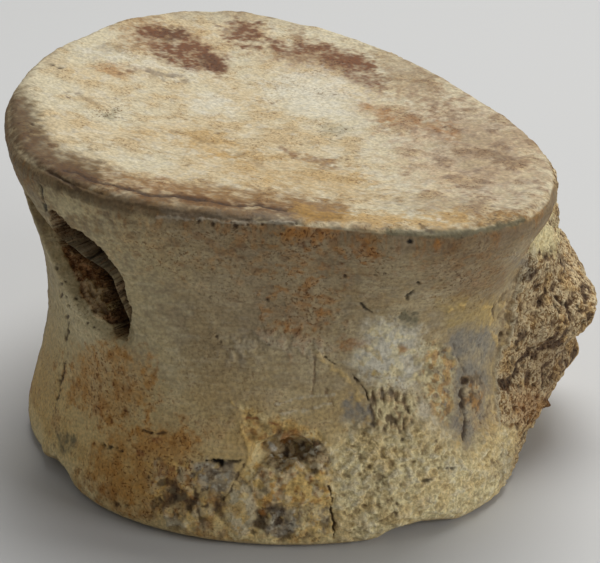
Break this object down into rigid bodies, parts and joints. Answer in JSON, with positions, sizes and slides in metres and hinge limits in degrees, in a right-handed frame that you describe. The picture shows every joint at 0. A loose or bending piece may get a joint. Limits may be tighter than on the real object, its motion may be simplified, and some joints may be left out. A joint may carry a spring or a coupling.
{
  "type": "fossil plesiosaur vertebra",
  "caption": "Fossil plesiosaur trunk vertebra: a waisted centrum with two broad dished end faces, a pitted side wall and the broken roots of its neural arch.",
  "frame": {"origin": "on the ground under the middle of the bone's bounding box", "axes": "+Z along the spine, from the end face the bone stands on to the upper one; +X from side to side; +Y dorsal, towards the broken roots of the neural arch"},
  "size_m": [0.0966, 0.0906, 0.056],
  "materials": {
    "fossil_bone": "matte, cream to ochre mineralised bone with rust and brown iron stains, grey patches and open cancellous breaks"
  },
  "bodies": {
    "root": {"vertebra": "fossil_bone"}
  },
  "joints": []
}
